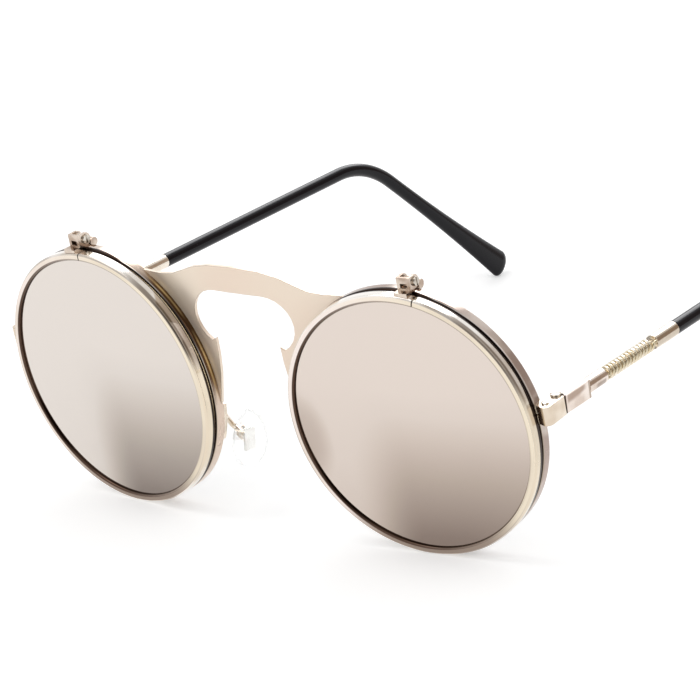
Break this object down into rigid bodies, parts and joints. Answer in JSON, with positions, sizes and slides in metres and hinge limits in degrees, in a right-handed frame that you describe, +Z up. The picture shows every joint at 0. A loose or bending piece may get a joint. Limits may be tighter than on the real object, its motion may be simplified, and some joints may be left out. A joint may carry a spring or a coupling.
{
  "type": "flip up sunglasses",
  "caption": "Round metal sunglasses with hinged mirrored lenses that flip up from clear lenses, a keyhole bridge, folding wire-wound temples and sleeved ear tips.",
  "frame": {"origin": "centre of the bounding box's base: the open glasses stand on the rims and on the temple tips", "axes": "+X to the wearer's left, +Y backwards from the lenses to the ear tips, +Z up from the surface they stand on"},
  "size_m": [0.1264, 0.1486, 0.0536],
  "materials": {
    "plate_gold": "satin champagne gold plating",
    "frame_gold": "polished champagne gold plating",
    "wire_gold": "polished light gold wire",
    "screw_steel": "polished steel",
    "clear_lens": "clear, polished, anti-glare coated",
    "mirror_lens": "warm silver-rose mirror coating",
    "pad_silicone": "soft translucent silicone",
    "sleeve_black": "semi-gloss black acetate"
  },
  "bodies": {
    "front": {"bridge_plate": "plate_gold", "fixed_rim_left": "frame_gold", "clear_lens_left": "clear_lens", "endpiece_left": "frame_gold", "rim_lock_screw_left": "screw_steel", "temple_hinge_screw_left": "screw_steel", "flip_hinge_base_left": "frame_gold", "pad_arm_left": "frame_gold", "pad_screw_left": "screw_steel", "fixed_rim_right": "frame_gold", "clear_lens_right": "clear_lens", "endpiece_right": "frame_gold", "rim_lock_screw_right": "screw_steel", "temple_hinge_screw_right": "screw_steel", "flip_hinge_base_right": "frame_gold", "pad_arm_right": "frame_gold", "pad_screw_right": "screw_steel"},
    "flip_left": {"flip_rim_left": "frame_gold", "mirror_lens_left": "mirror_lens", "flip_bracket_left": "frame_gold", "flip_screw_left": "screw_steel", "flip_washers_left": "screw_steel"},
    "flip_right": {"flip_rim_right": "frame_gold", "mirror_lens_right": "mirror_lens", "flip_bracket_right": "frame_gold", "flip_screw_right": "screw_steel", "flip_washers_right": "screw_steel"},
    "temple_left": {"temple_block_left": "frame_gold", "temple_core_left": "screw_steel", "temple_coil_left": "wire_gold", "temple_collar_left": "frame_gold", "temple_sleeve_left": "sleeve_black"},
    "temple_right": {"temple_block_right": "frame_gold", "temple_core_right": "screw_steel", "temple_coil_right": "wire_gold", "temple_collar_right": "frame_gold", "temple_sleeve_right": "sleeve_black"},
    "pad_left": {"pad_lug_left": "screw_steel", "nose_pad_left": "pad_silicone"},
    "pad_right": {"pad_lug_right": "screw_steel", "nose_pad_right": "pad_silicone"}
  },
  "joints": [
    {"name": "flip_left_hinge", "type": "hinge", "parent": "front", "child": "flip_left", "pos_m": [0.03834, -0.06986, 0.0523], "axis": [-0.9954, -0.0951, -0.0118], "range_deg": [0, 95]},
    {"name": "flip_right_hinge", "type": "hinge", "parent": "front", "child": "flip_right", "pos_m": [-0.03834, -0.06986, 0.0523], "axis": [-0.9954, 0.0951, 0.0118], "range_deg": [0, 95]},
    {"name": "temple_left_hinge", "type": "hinge", "parent": "front", "child": "temple_left", "pos_m": [0.06148, -0.06141, 0.02982], "axis": [0, -0.1233, 0.9924], "range_deg": [0, 87.4]},
    {"name": "temple_right_hinge", "type": "hinge", "parent": "front", "child": "temple_right", "pos_m": [-0.06148, -0.06141, 0.02982], "axis": [0, 0.1233, -0.9924], "range_deg": [0, 81.4]},
    {"name": "pad_left_rock", "type": "hinge", "parent": "front", "child": "pad_left", "pos_m": [0.0114, -0.06163, 0.01488], "axis": [-0.3978, 0.917, 0.0287], "range_deg": [-8, 8]},
    {"name": "pad_right_rock", "type": "hinge", "parent": "front", "child": "pad_right", "pos_m": [-0.0114, -0.06163, 0.01488], "axis": [0.3978, 0.917, 0.0287], "range_deg": [-8, 8]}
  ]
}
